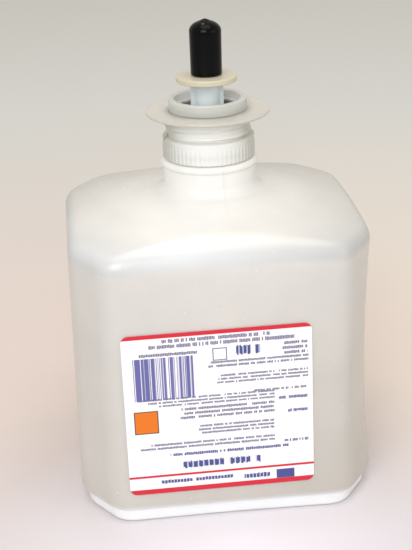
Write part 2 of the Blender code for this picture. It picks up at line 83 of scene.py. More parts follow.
CLEARNESS = 0.30
# Painted light above the gel: palest at a place on the left of the crest, darker away from it
CREST_LIGHT_POOL = (-0.014, -0.040, 0.108)
CREST_LIGHT_REACH = (0.010, 0.080)
CREST_TO_SLOPE = (0.1035, 0.1085)
PARTING_LINE = 0.0033


def arc(centre, radius, start, end, steps):
    """Points of an arc in the plane of radius and height, from one angle in degrees to another."""
    angles = np.radians(np.linspace(start, end, steps + 1))
    return [(centre[0] + radius * math.cos(a), centre[1] + radius * math.sin(a)) for a in angles]


def skin(name, rings, material, body, closed=False, crease=35.0):
    """Quads between neighbouring rings of points, as one object that rides on a body.

    A closed skin joins its last ring to the first. An open one ends in a flat fan at each end.
    The faces are turned over when the volume under them comes out negative.
    """
    rings = np.asarray(rings, dtype=float)
    count, around = rings.shape[:2]
    points = rings.reshape(-1, 3)
    starts = np.arange(count if closed else count - 1)[:, None] * around
    here, ahead = np.arange(around)[None], np.roll(np.arange(around), -1)[None]
    lower, lower_ahead = starts + here, starts + ahead
    upper, upper_ahead = (lower + around) % (count * around), (lower_ahead + around) % (count * around)
    quads = np.stack([lower, lower_ahead, upper_ahead, upper], axis=-1).reshape(-1, 4)
    fans = np.empty((0, 3), dtype=int)
    if not closed:
        points = np.vstack([points, rings[0].mean(axis=0), rings[-1].mean(axis=0)])
        last = (count - 1) * around
        low_fan = np.column_stack([ahead[0], here[0], np.full(around, count * around)])
        high_fan = np.column_stack([last + here[0], last + ahead[0], np.full(around, count * around + 1)])
        fans = np.vstack([low_fan, high_fan])
    triangles = np.vstack([quads[:, :3], quads[:, [0, 2, 3]], fans])
    a, b, c = points[triangles[:, 0]], points[triangles[:, 1]], points[triangles[:, 2]]
    if np.einsum("ij,ij->i", a, np.cross(b, c)).sum() < 0:
        quads, fans = quads[:, ::-1], fans[:, ::-1]
    mesh = bpy.data.meshes.new(name)
    mesh.from_pydata(points.tolist(), [], quads.tolist() + fans.tolist())
    mesh.shade_smooth()
    mesh.set_sharp_from_angle(angle=math.radians(crease))
    mesh.materials.append(material)
    made = bpy.data.objects.new(name, mesh)
    bpy.context.collection.objects.link(made)
    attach(made, body)
    return made


def add_node(tree, kind, inputs=(), **settings):
    """Adds a shader node. Inputs pair a socket's name or number with a value or another socket."""
    made = tree.nodes.new("ShaderNode" + kind)
    for key, value in settings.items():
        setattr(made, key, value)
    for key, value in dict(inputs).items():
        if isinstance(value, bpy.types.NodeSocket):
            tree.links.new(value, made.inputs[key])
        else:
            made.inputs[key].default_value = value
    return made


def sum_of(tree, operation, first, second=0.0, third=0.0, clamp=False):
    """One Math node's result."""
    return add_node(tree, "Math", {0: first, 1: second, 2: third}, operation=operation,
                    use_clamp=clamp).outputs[0]


def noise_of(tree, place, scale, detail=3.0, roughness=0.5):
    """A grey noise with this many waves to the metre."""
    return add_node(tree, "TexNoise", {"Vector": place, "Scale": scale, "Detail": detail,
                                       "Roughness": roughness}).outputs["Fac"]


def ramp_of(tree, value, low, high, start=0.0, end=1.0):
    """A straight ramp: start below low, end above high."""
    return add_node(tree, "MapRange", {"Value": value, "From Min": low, "From Max": high,
                                       "To Min": start, "To Max": end}).outputs["Result"]


def mix_of(tree, share, first, second):
    """Two colours mixed by a share from 0 to 1."""
    return add_node(tree, "Mix", {0: share, 6: first, 7: second}, data_type="RGBA").outputs[2]


def distance_to(tree, place, point):
    """How far each place is from a fixed point."""
    return add_node(tree, "VectorMath", {0: place, 1: point}, operation="DISTANCE").outputs["Value"]


def new_group(name, inputs, outputs):
    """A shader node group with float or vector sockets, and its first and last nodes."""
    group = bpy.data.node_groups.new(name, "ShaderNodeTree")
    for way, sockets in (("INPUT", inputs), ("OUTPUT", outputs)):
        for socket, kind in sockets:
            group.interface.new_socket(socket, in_out=way, socket_type="NodeSocket" + kind)
    return group, group.nodes.new("NodeGroupInput"), group.nodes.new("NodeGroupOutput")


def use_group(tree, group, inputs):
    """Places a group in a material."""
    return add_node(tree, "Group", inputs, node_tree=group)


def new_material(name, **constants):
    """A material, its tree, its Principled shader and the object's own coordinates."""
    material = bpy.data.materials.new(name)
    material.use_nodes = True
    tree = material.node_tree
    shader = tree.nodes["Principled BSDF"]
    for socket, value in constants.items():
        shader.inputs[socket.replace("_", " ")].default_value = value
    return material, tree, shader, add_node(tree, "TexCoord").outputs["Object"]


def tint(tree, shader, colour, tone):
    """Gives the shader a colour times a tone near one."""
    toned = add_node(tree, "VectorMath", {0: colour, 3: tone}, operation="SCALE")
    tree.links.new(toned.outputs[0], shader.inputs["Base Color"])


def emboss(tree, shader, relief, depth, strength):
    """Gives the shader's surface a relief of this depth in metres."""
    bump = add_node(tree, "Bump", {"Height": relief, "Distance": depth, "Strength": strength})
    tree.links.new(bump.outputs[0], shader.inputs["Normal"])


def moulded_group():
    """What every moulded plastic piece shares: cloudy tone, handling marks and a fine skin.

    Tone is near one, Roughness is the given one plus its marks, and Height is for a Bump.
    """
    group, first, last = new_group(
        "moulded_plastic", [("Place", "Vector"), ("Roughness", "Float"), ("Grain", "Float")],
        [("Tone", "Float"), ("Roughness", "Float"), ("Height", "Float")])
    place = first.outputs["Place"]
    clouds = noise_of(group, place, 60.0)
    grain = noise_of(group, place, first.outputs["Grain"], 2.0, 0.7)
    marks = ramp_of(group, noise_of(group, place, 420.0, 5.0, 0.8), 0.55, 0.75)
    tone = sum_of(group, "ADD", ramp_of(group, clouds, 0.3, 0.7, 0.975, 1.025),
                  sum_of(group, "MULTIPLY", marks, -0.02))
    rough = sum_of(group, "ADD", first.outputs["Roughness"], sum_of(group, "MULTIPLY", marks, 0.08))
    height = sum_of(group, "ADD", grain, sum_of(group, "MULTIPLY", clouds, 4.0))
    for socket, value in (("Tone", tone), ("Roughness", rough), ("Height", height)):
        group.links.new(value, last.inputs[socket])
    return group


moulded = moulded_group()


def plain_plastic(name, colour, roughness, grain=2500.0, depth=0.00002, **constants):
    """A moulded plastic of one colour with the shared tone, marks and skin."""
    material, tree, shader, place = new_material(name, **constants)
    surface = use_group(tree, moulded, {"Place": place, "Roughness": roughness, "Grain": grain})
    tint(tree, shader, colour, surface.outputs["Tone"])
    tree.links.new(surface.outputs["Roughness"], shader.inputs["Roughness"])
    emboss(tree, shader, surface.outputs["Height"], depth, 0.5)
    return material, tree, shader, place


def body_outline(inset):
    """Points round the chamfered section, drawn in by inset; each corner is a parabola between its sides."""
    half_x, half_y = BODY_WIDTH / 2 - inset, BODY_DEPTH / 2 - inset
    slant = math.hypot(CHAMFER_WIDTH, CHAMFER_DEPTH)
    cut_x = half_x - CHAMFER_WIDTH + inset - inset * (slant - CHAMFER_WIDTH) / CHAMFER_DEPTH
    cut_y = half_y - CHAMFER_DEPTH + inset - inset * (slant - CHAMFER_DEPTH) / CHAMFER_WIDTH
    corners = np.array([(cut_x, -half_y), (half_x, -cut_y), (half_x, cut_y), (cut_x, half_y),
                        (-cut_x, half_y), (-half_x, cut_y), (-half_x, -cut_y), (-cut_x, -half_y)])
    points = []
    for index, corner in enumerate(corners):
        before, after = corners[index - 1], corners[(index + 1) % len(corners)]
        start = corner + (before - corner) / np.linalg.norm(before - corner) * CORNER_RADIUS
        ahead = (after - corner) / np.linalg.norm(after - corner) * CORNER_RADIUS
        end = corner + ahead
        share = np.linspace(0.0, 1.0, CORNER_SPANS + 1)[:, None]
        points.append(start * (1 - share) ** 2 + corner * 2 * share * (1 - share) + end * share ** 2)
        share = np.linspace(0.0, 1.0, WALL_SPANS[index % 4] + 1)[1:-1, None]
        points.append(end + (after - ahead - end) * share)
    return np.vstack(points)


def fillet_at(across, inset):
    """Radius of the shoulder's fillet, which swells towards the middle of the front and back walls."""
    swell = 1 - np.clip(np.abs(across) / (BODY_WIDTH / 2 - CHAMFER_WIDTH), 0, 1) ** 2
    return SHOULDER_FILLET + (CREST_FILLET - SHOULDER_FILLET) * swell - inset


def wall_top_for(reach, fillet, inset):
    """Height where a wall ends under its fillet, when the slope reaches this far from the neck."""
    tilt = math.atan(SHOULDER_SLOPE)
    top = SHOULDER_TOP - inset * math.hypot(1, SHOULDER_SLOPE)
    return top - SHOULDER_SLOPE * (reach - fillet * (1 - math.sin(tilt))) - fillet * math.cos(tilt)


def bottle_skin(inset):
    """Rings of the bottle's surface from the middle of the base to the neck root, drawn in by inset."""
    outline = body_outline(inset)
    spoke = outline / np.linalg.norm(outline, axis=1)[:, None]
    root = spoke * (NECK_ROOT_RADIUS + NECK_ROOT_FILLET - inset)
    reach = np.linalg.norm(outline - root, axis=1)
    tilt = math.atan(SHOULDER_SLOPE)
    fillet = fillet_at(outline[:, 0], inset)
    top = SHOULDER_TOP - inset * math.hypot(1, SHOULDER_SLOPE)
    wall_top = wall_top_for(reach, fillet, inset)

    def drawn_in(share):
        """The outline at a share of the wall's height: tapered, with the right-hand wall bowed in."""
        ring = outline * (1 - BODY_TAPER * share)
        right = np.clip((outline[:, 0] - BODY_WIDTH / 2 + CHAMFER_WIDTH) / CHAMFER_WIDTH, 0, 1)
        ring[:, 0] -= PANEL_SINK * math.sin(math.pi * share) * right
        return ring

    def placed(ring, height):
        return np.column_stack([ring, np.broadcast_to(height, len(outline))])

    rings = []
    foot = outline - spoke * HEEL_INSET
    for share in (0.1, 0.3, 0.5, 0.7, 0.85, 0.95):
        rise = inset + PUSH_UP * (1 - share ** 4)
        rings.append(placed(foot * share * (1 - FOOT_WIDTH / (BODY_DEPTH / 2)), rise))
    rings.append(placed(foot - spoke * FOOT_WIDTH, inset))
    for angle in np.radians(np.linspace(-90, 0, 7)):
        rings.append(placed(foot - spoke * FOOT_ROUND * (1 - math.cos(angle)),
                            inset + FOOT_ROUND * (1 + math.sin(angle))))
    rings.append(placed(foot, HEEL_HEIGHT - FOOT_ROUND / 2 + inset))
    for angle in np.radians((-60, -45, -30, -15)):
        rings.append(placed(outline - spoke * HEEL_ROUND * (1 - math.cos(angle)),
                            WALL_FOOT + inset + HEEL_ROUND * math.sin(angle)))
    for share in np.linspace(0.0, 1.0, 31):
        rings.append(placed(drawn_in(share), (WALL_FOOT + inset) * (1 - share) + wall_top * share))
    crest = drawn_in(1.0)
    inward = (root - crest) / np.linalg.norm(root - crest, axis=1)[:, None]
    for angle in np.linspace(0.0, math.pi / 2 - tilt, 15)[1:]:
        rings.append(placed(crest + inward * fillet[:, None] * (1 - math.cos(angle)),
                            wall_top + fillet * math.sin(angle)))
    slope_ring, slope_height = rings[-1][:, :2], rings[-1][:, 2]
    for share in np.linspace(0.0, 1.0, 9)[1:]:
        rings.append(placed(slope_ring + (root - slope_ring) * share,
                            slope_height + (top - slope_height) * share))
    return rings, spoke


def bottle_rings():
    """The outer skin up to the lip, then the inner skin back down to the floor."""
    outer, spoke = bottle_skin(0.0)
    inner, _ = bottle_skin(BOTTLE_WALL)
    bead_round = BEAD_HEIGHT / 2
    neck = arc((NECK_ROOT_RADIUS + NECK_ROOT_FILLET, SHOULDER_TOP + NECK_ROOT_FILLET),
               NECK_ROOT_FILLET, 270, 180, 10)[1:]
    neck += [(BEAD_RADIUS - bead_round / 2, BEAD_BOTTOM - BEAD_STEP)]
    neck += arc((BEAD_RADIUS - bead_round, BEAD_BOTTOM + bead_round), bead_round, -60, 60, 10)
    neck += [(FINISH_RADIUS, BEAD_BOTTOM + BEAD_HEIGHT)]
    neck += [(FINISH_RADIUS, SNAP_LEVEL - SNAP_HEIGHT / 2), (FINISH_RADIUS + SNAP_DEPTH, SNAP_LEVEL),
             (FINISH_RADIUS, SNAP_LEVEL + SNAP_HEIGHT / 2), (FINISH_RADIUS, FINISH_STEP),
             (MOUTH_RADIUS, FINISH_STEP + FINISH_RADIUS - MOUTH_RADIUS), (MOUTH_RADIUS, MOUTH_TOP)]
    throat = NECK_ROOT_RADIUS - BOTTLE_WALL
    bore = [(MOUTH_RADIUS - NECK_WALL, MOUTH_TOP), (MOUTH_RADIUS - NECK_WALL, FINISH_STEP),
            (FINISH_RADIUS - NECK_WALL, FINISH_STEP - FINISH_RADIUS + MOUTH_RADIUS),
            (FINISH_RADIUS - NECK_WALL, BEAD_BOTTOM), (throat, BEAD_BOTTOM - NECK_ROOT_FILLET),
            (throat, SHOULDER_TOP + NECK_ROOT_FILLET / 2)]
    turned_part = [np.column_stack([spoke * radius, np.full(len(spoke), height)])
                   for radius, height in neck + bore]
    return outer + turned_part + inner[::-1]


def bottle_material():
    """Frosted polyethylene: warmer where gel lies behind it, milk-pale above, pale at the foot and neck, with
    painted shade on the gel zone and painted light on the crest.
    """
    material, tree, shader, place = new_material("frosted_polyethylene", IOR=1.5, Specular_IOR_Level=0.5)
    surface = use_group(tree, moulded, {"Place": place, "Roughness": 0.22, "Grain": 1800.0})
    parts = add_node(tree, "SeparateXYZ", {0: place})
    height = parts.outputs["Z"]
    wander = ramp_of(tree, noise_of(tree, place, 35.0), 0.3, 0.7, -GEL_WANDER, GEL_WANDER)
    wet = ramp_of(tree, sum_of(tree, "ADD", height, wander), GEL_LEVEL - GEL_EDGE, GEL_LEVEL + GEL_EDGE,
                  1.0, 0.0)
    # Painted shade on the gel zone: darker from the middle towards the sides, from left to right, and towards
    # the bottom
    bottom_shade = ramp_of(tree, height, 0.010, GEL_LEVEL, 1.0, 0.0)
    aside = ramp_of(tree, sum_of(tree, "ABSOLUTE", parts.outputs["X"]), 0.0, 0.05)
    gel_tone_and_shade = mix_of(tree, aside, (0.88, 0.86, 0.83, 1), (0.80, 0.785, 0.76, 1))
    shaded_low_tone = mix_of(tree, ramp_of(tree, parts.outputs["X"], -0.05, 0.05),
                      (0.79, 0.765, 0.72, 1), (0.70, 0.67, 0.61, 1))
    gel_tone_and_shade = mix_of(tree, bottom_shade, gel_tone_and_shade, shaded_low_tone)
    # Painted light: above the gel the colour is palest near a pool on the left of the crest and darker away
    # from it
    away_from_light = ramp_of(tree, distance_to(tree, place, CREST_LIGHT_POOL), *CREST_LIGHT_REACH)
    crest = mix_of(tree, away_from_light, (0.83, 0.85, 0.88, 1), (0.60, 0.595, 0.585, 1))
    slope = mix_of(tree, away_from_light, (0.98, 0.97, 0.94, 1), (0.74, 0.72, 0.675, 1))
    milky_and_lit = mix_of(tree, ramp_of(tree, height, *CREST_TO_SLOPE), crest, slope)
    colour = mix_of(tree, wet, milky_and_lit, gel_tone_and_shade)
    foot = ramp_of(tree, height, HEEL_HEIGHT, WALL_FOOT, 1.0, 0.0)
    colour = mix_of(tree, foot, colour, (0.95, 0.98, 1.0, 1))
    neck = ramp_of(tree, height, SHOULDER_TOP - 0.004, SHOULDER_TOP + 0.004)
    colour = mix_of(tree, neck, colour, (0.99, 0.99, 0.975, 1))
    solid = sum_of(tree, "MAXIMUM", sum_of(tree, "MULTIPLY", foot, 0.7), sum_of(tree, "MULTIPLY", neck, 0.3))
    clear = sum_of(tree, "MULTIPLY_ADD", solid, -CLEARNESS, CLEARNESS)
    tree.links.new(clear, shader.inputs["Transmission Weight"])
    off_seam = sum_of(tree, "ABSOLUTE", sum_of(tree, "SUBTRACT", parts.outputs["X"], PARTING_LINE))
    seam = ramp_of(tree, off_seam, 0.0002, 0.0005, 1.0, 0.0)
    seam = sum_of(tree, "MULTIPLY", seam, neck)
    colour = mix_of(tree, sum_of(tree, "MULTIPLY", seam, 0.15), colour, (0.80, 0.79, 0.76, 1))
    tint(tree, shader, colour, surface.outputs["Tone"])
    tree.links.new(surface.outputs["Roughness"], shader.inputs["Roughness"])
    relief = sum_of(tree, "ADD", surface.outputs["Height"], sum_of(tree, "MULTIPLY", seam, 6.0))
    emboss(tree, shader, relief, 0.00003, 0.6)
    return material


bottle = skin("bottle_shell", bottle_rings(), bottle_material(), "bottle_and_pump")
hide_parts("bottle")


# Gel
# A litre of clear hand gel, poured in through the neck. It takes the form of the inner skin and
# stands level at the fill line, with a thin rim where it wets the wall.
GEL_CLEARANCE = 0.0003
GEL_RIM = 0.0008


def gel_rings():
    """The inner skin up to the fill line, then a meniscus and the level surface."""
    rings, spoke = bottle_skin(BOTTLE_WALL + GEL_CLEARANCE)
    below = [ring for ring in rings if ring[:, 2].max() < GEL_LEVEL]
    upper = np.array(rings[len(below) - 1:]).transpose(1, 2, 0)
    edge = np.array([[np.interp(GEL_LEVEL, along[2], place) for place in along] for along in upper])
    dished = edge.copy()
    dished[:, :2] -= spoke * GEL_RIM
    dished[:, 2] -= GEL_RIM / 2
    flat = dished * (0.5, 0.5, 1.0)
    return below + [edge, dished, flat]


def gel_material():
    """Gel with a little haze, faint stir marks and small bubbles just under the skin."""
    material, tree, shader, place = new_material("clear_gel", IOR=1.36, Transmission_Weight=0.45,
                                                 Roughness=0.12)
    haze = noise_of(tree, place, 45.0, 4.0)
    bubbles = add_node(tree, "TexVoronoi", {"Vector": place, "Scale": 260.0}).outputs["Distance"]
    bubbles = ramp_of(tree, bubbles, 0.05, 0.16, 1.0, 0.0)
    colour = mix_of(tree, haze, (0.80, 0.74, 0.68, 1), (0.86, 0.81, 0.76, 1))
    colour = mix_of(tree, sum_of(tree, "MULTIPLY", bubbles, 0.5), colour, (0.95, 0.95, 0.94, 1))
    tree.links.new(colour, shader.inputs["Base Color"])
    relief = sum_of(tree, "ADD", haze, sum_of(tree, "MULTIPLY", bubbles, 0.2))
    emboss(tree, shader, relief, 0.0004, 0.4)
    return material


gel = skin("gel_fill", gel_rings(), gel_material(), "bottle_and_pump")
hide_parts("gel")


# Label
# White self-adhesive film with round corners, stuck on the front wall a little off centre and half
# a degree out of true. Its print is plain fields and unreadable bars; sizes are millimetres on the film.
LABEL_LEFT = -0.0385
LABEL_RIGHT = 0.0298
LABEL_BOTTOM = 0.0131
LABEL_TOP = 0.0767
LABEL_CORNER = 0.0028
LABEL_TURN = math.radians(0.5)
LABEL_GAP = 0.0003
LABEL_THICKNESS = 0.0002
FILM_WHITE = (0.93, 0.93, 0.95, 1)
FILM_RED = (0.64, 0.014, 0.036, 1)
INK = (0.15, 0.145, 0.26, 1)
TITLE_INK = (0.055, 0.075, 0.27, 1)
ORANGE = (0.76, 0.175, 0.002, 1)
# Fields: left, right, low, high and colour
FIELDS = [(-1, 70, 62.1, 65, FILM_RED), (-1, 70, -1, 2.0, FILM_RED), (-1, 70, 6.7, 7.6, FILM_RED),
          (3.1, 11.9, 24.8, 33.9, (0.10, 0.06, 0.04, 1)), (3.5, 11.5, 25.2, 33.5, ORANGE),
          (54.3, 61.0, 2.0, 5.7, TITLE_INK), (32.4, 37.6, 51.8, 56.7, INK),
          (32.8, 37.2, 52.2, 56.3, FILM_WHITE)]
# Text blocks: left, right, low, high, height of a row, share of a row that is ink, and colour
BLOCKS = [(13.7, 53.2, 60.0, 61.6, 1.6, 0.9, INK), (5.1, 61.9, 58.0, 59.6, 1.6, 0.9, INK),
          (57.0, 66.6, 51.8, 57.6, 1.9, 0.6, INK), (40.6, 49.5, 53.2, 57.2, 4.0, 0.9, TITLE_INK),
          (3.0, 27.0, 54.9, 56.6, 1.7, 0.7, INK), (30.4, 66.9, 48.9, 51.8, 1.5, 0.6, INK),
          (32.0, 66.7, 42.4, 46.4, 1.35, 0.6, INK), (43.2, 66.4, 38.0, 39.5, 1.5, 0.6, INK),
          (55.8, 66.3, 34.3, 35.8, 1.5, 0.8, TITLE_INK), (4.1, 54.3, 34.9, 38.8, 1.3, 0.6, INK),
          (57.6, 66.3, 28.9, 30.3, 1.4, 0.8, TITLE_INK), (14.8, 54.2, 29.3, 34.4, 1.7, 0.6, INK),
          (23.0, 53.9, 22.8, 27.0, 1.4, 0.6, INK), (56.8, 66.4, 16.8, 18.2, 1.4, 0.8, TITLE_INK),
          (4.4, 54.0, 17.7, 20.7, 1.5, 0.6, INK), (8.5, 59.1, 14.5, 16.4, 1.9, 0.6, TITLE_INK),
          (19.2, 48.5, 8.3, 13.7, 5.4, 0.5, TITLE_INK), (41.5, 53.1, 2.2, 5.8, 3.6, 0.5, TITLE_INK),
          (10.4, 38.2, 3.0, 6.2, 3.2, 0.45, TITLE_INK)]
# Upright stripes: left, right, low and high of the field, bars to the millimetre, the first bar's number
STRIPES = (3.8, 25.5, 38.0, 54.6)
STRIPES_DENSITY = 3.4
STRIPES_FIRST = 57.0
STRIPES_INK = (0.13, 0.13, 0.36, 1)
# Rows of print: a cell's width to a row's height, the pale part of a cell and its ink, the share of cells
# left blank, and how far in a line may begin, as a share of the block's width
CELL_WIDTH = 0.36
CELL_GAP = 0.25
GAP_INK = 0.35
BLANK_CELLS = 0.14
RAGGED = 0.18


def label_rings():
    """Front face from the middle out to the die-cut rim, round the edge, and the adhesive face back in."""
    half_x, half_z = (LABEL_RIGHT - LABEL_LEFT) / 2, (LABEL_TOP - LABEL_BOTTOM) / 2
    rim = []
    for side_x, side_z, start in ((1, -1, 270), (1, 1, 0), (-1, 1, 90), (-1, -1, 180)):
        corner = (side_x * (half_x - LABEL_CORNER), side_z * (half_z - LABEL_CORNER))
        rim += arc(corner, LABEL_CORNER, start, start + 90, 12)
    rim = np.array(rim)
    wall_top = wall_top_for(BODY_DEPTH / 2 - NECK_ROOT_RADIUS - NECK_ROOT_FILLET, CREST_FILLET, 0.0)
    rings, print_places = [], []
    for share, depth in ((0.02, 1), (0.3, 1), (0.6, 1), (0.9, 1), (1.0, 1), (1.0, 0), (0.6, 0), (0.02, 0)):
        along, up = rim[:, 0] * share, rim[:, 1] * share
        x = (LABEL_LEFT + LABEL_RIGHT) / 2 + along * math.cos(LABEL_TURN) - up * math.sin(LABEL_TURN)
        z = (LABEL_BOTTOM + LABEL_TOP) / 2 + along * math.sin(LABEL_TURN) + up * math.cos(LABEL_TURN)
        wall = -BODY_DEPTH / 2 * (1 - BODY_TAPER * (z - WALL_FOOT) / (wall_top - WALL_FOOT))
        rings.append(np.column_stack([x, wall - LABEL_GAP - depth * LABEL_THICKNESS, z]))
        print_places.append(np.column_stack([(along + half_x) * 1000, (up + half_z) * 1000,
                                             np.full(len(x), depth)]))
    return rings, print_places


def field_group():
    """One inside the rectangle, zero outside, with an edge a tenth of a millimetre wide."""
    group, first, last = new_group("print_field", [("Place", "Vector"), ("Left", "Float"), ("Right", "Float"),
                                                   ("Low", "Float"), ("High", "Float")], [("Mask", "Float")])
    place = add_node(group, "SeparateXYZ", {0: first.outputs["Place"]})
    across, up = place.outputs["X"], place.outputs["Y"]
    side = sum_of(group, "MINIMUM", sum_of(group, "SUBTRACT", across, first.outputs["Left"]),
                  sum_of(group, "SUBTRACT", first.outputs["Right"], across))
    level = sum_of(group, "MINIMUM", sum_of(group, "SUBTRACT", up, first.outputs["Low"]),
                   sum_of(group, "SUBTRACT", first.outputs["High"], up))
    inside = sum_of(group, "MULTIPLY_ADD", sum_of(group, "MINIMUM", side, level), 10.0, 0.5, clamp=True)
    group.links.new(inside, last.inputs["Mask"])
    return group


def text_group(field):
    """Rows of unreadable bars in a rectangle: narrow cells, some of them left blank as word gaps."""
    group, first, last = new_group(
        "print_rows", [("Place", "Vector"), ("Left", "Float"), ("Right", "Float"), ("Low", "Float"),
                       ("High", "Float"), ("Row", "Float"), ("Ink", "Float"), ("Wander", "Float")],
        [("Mask", "Float")])
    given = first.outputs
    area = use_group(group, field, {key: given[key] for key in ("Place", "Left", "Right", "Low", "High")})
    place = add_node(group, "SeparateXYZ", {0: given["Place"]})
    across, up = place.outputs["X"], place.outputs["Y"]
    rise = sum_of(group, "DIVIDE", sum_of(group, "SUBTRACT", up, given["Low"]), given["Row"])
    row = sum_of(group, "FLOOR", rise)
    middle = sum_of(group, "ABSOLUTE", sum_of(group, "SUBTRACT", sum_of(group, "FRACT", rise), 0.5))
    inked = sum_of(group, "LESS_THAN", middle, sum_of(group, "MULTIPLY", given["Ink"], given["Wander"]))
    run = sum_of(group, "DIVIDE", across, sum_of(group, "MULTIPLY", given["Row"], CELL_WIDTH))
    cell = add_node(group, "CombineXYZ", {0: sum_of(group, "FLOOR", run), 1: row, 2: given["Low"]})
    chance = add_node(group, "TexWhiteNoise", {"Vector": cell.outputs[0]}).outputs["Value"]
    word = sum_of(group, "GREATER_THAN", chance, BLANK_CELLS)
    stroke = sum_of(group, "GREATER_THAN", sum_of(group, "FRACT", run), CELL_GAP)
    letter = sum_of(group, "MULTIPLY_ADD", stroke, 1 - GAP_INK, GAP_INK)
    width = sum_of(group, "SUBTRACT", given["Right"], given["Left"])
    line = add_node(group, "CombineXYZ", {0: row, 1: given["Low"]})
    luck = add_node(group, "TexWhiteNoise", {"Vector": line.outputs[0]}).outputs["Value"]
    ragged = sum_of(group, "MULTIPLY", luck, sum_of(group, "MULTIPLY", width, RAGGED))
    started = sum_of(group, "GREATER_THAN", sum_of(group, "SUBTRACT", across, given["Left"]), ragged)
    mask = area.outputs["Mask"]
    for part in (inked, word, letter, started):
        mask = sum_of(group, "MULTIPLY", mask, part)
    group.links.new(mask, last.inputs["Mask"])
    return group


def label_material():
    """Satin white film, printed. The fields lie over each other in the order of their list."""
    material, tree, shader, _ = new_material("white_film_label", IOR=1.5)
    place = add_node(tree, "Attribute", attribute_name="print").outputs["Vector"]
    field = field_group()
    rows = text_group(field)

    def area(corners):
        """The sockets' values for a rectangle on the film."""
        return dict(zip(("Left", "Right", "Low", "High"), corners), Place=place)

    mottle = noise_of(tree, place, 0.35, 3.0)
    colour = mix_of(tree, mottle, FILM_WHITE, tuple(0.97 * part for part in FILM_WHITE[:3]) + (1,))
    for *corners, ink in FIELDS:
        mask = use_group(tree, field, area(corners))
        colour = mix_of(tree, mask.outputs["Mask"], colour, ink)
    wander = ramp_of(tree, noise_of(tree, place, 1.7, 1.0), 0.3, 0.7, 0.34, 0.60)
    for *corners, row, share, ink in BLOCKS:
        mask = use_group(tree, rows, {**area(corners), "Row": row, "Ink": share, "Wander": wander})
        colour = mix_of(tree, mask.outputs["Mask"], colour, ink)
    mask = use_group(tree, field, area(STRIPES))
    across = add_node(tree, "SeparateXYZ", {0: place}).outputs["X"]
    count = sum_of(tree, "FLOOR", sum_of(tree, "MULTIPLY_ADD", across, STRIPES_DENSITY, STRIPES_FIRST))
    bar = add_node(tree, "TexWhiteNoise", {"W": count}, noise_dimensions="1D").outputs["Value"]
    bars = sum_of(tree, "MULTIPLY", mask.outputs["Mask"], ramp_of(tree, bar, 0.12, 0.42))
    colour = mix_of(tree, bars, colour, STRIPES_INK)
    tree.links.new(colour, shader.inputs["Base Color"])
    satin = ramp_of(tree, noise_of(tree, place, 1.5), 0.3, 0.7, 0.30, 0.38)
    tree.links.new(satin, shader.inputs["Roughness"])
    emboss(tree, shader, noise_of(tree, place, 0.25, 2.0), 0.00015, 0.3)
    return material


label_shape, label_places = label_rings()
label = skin("label_film", label_shape, label_material(), "bottle_and_pump")
places = label.data.attributes.new("print", "FLOAT_VECTOR", "POINT")
label_places = np.vstack(label_places + [label_places[0].mean(axis=0), label_places[-1].mean(axis=0)])
places.data.foreach_set("vector", label_places.ravel())
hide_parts("front_label")


# Collar
# Flange and stepped skirt moulded in one from natural polypropylene, snapped over the neck's bead.
# The lower skirt is serrated, a fine thread shows through the upper skirt, and a window is left at the step.
FLANGE_RADIUS = 0.0230
FLANGE_THICKNESS = 0.0012
COLLAR_WALL = 0.0012
COLLAR_HOLE = 0.0119
FIT = 0.0003
GASKET_THICKNESS = 0.0009
COLLAR_PLATE = MOUTH_TOP + FIT + GASKET_THICKNESS + FIT
FLANGE_TOP = COLLAR_PLATE + FLANGE_THICKNESS
TOUCH = 0.00005
SKIRT_BOTTOM = BEAD_BOTTOM + BEAD_HEIGHT + TOUCH
SKIRT_CHAMFER = 0.0006
SERRATION_COUNT = 60
SERRATION_DEPTH = 0.00012
SERRATION_TOP = 0.1314
THREAD_PITCH = 0.0034
THREAD_DEPTH = 0.0004
THREAD_START = 0.0008
THREAD_END = 0.0012
PLAIN_EDGE = 0.0005
WINDOW_TURN = math.radians(191)
WINDOW_WIDTH = 0.0016
WINDOW_HEIGHT = 0.0027
WINDOW_DEPTH = 0.0009


def turned(profile, around=180):
    """A profile of (radius, height) points turned round Z, as rings of points."""
    profile = np.asarray(profile)
    angles = np.linspace(0.0, math.tau, around, endpoint=False)
    radii, heights = profile[:, :1], np.broadcast_to(profile[:, 1:], (len(profile), around))
    return np.stack([radii * np.cos(angles), radii * np.sin(angles), heights], axis=-1)


def fine(profile, step=0.0004):
    """The same profile with points added, so that no span is longer than the step."""
    out = [profile[0]]
    for start, end in zip(profile, profile[1:]):
        spans = max(1, math.ceil(math.dist(start, end) / step))
        out += [tuple(point) for point in np.linspace(start, end, spans + 1)[1:]]
    return out


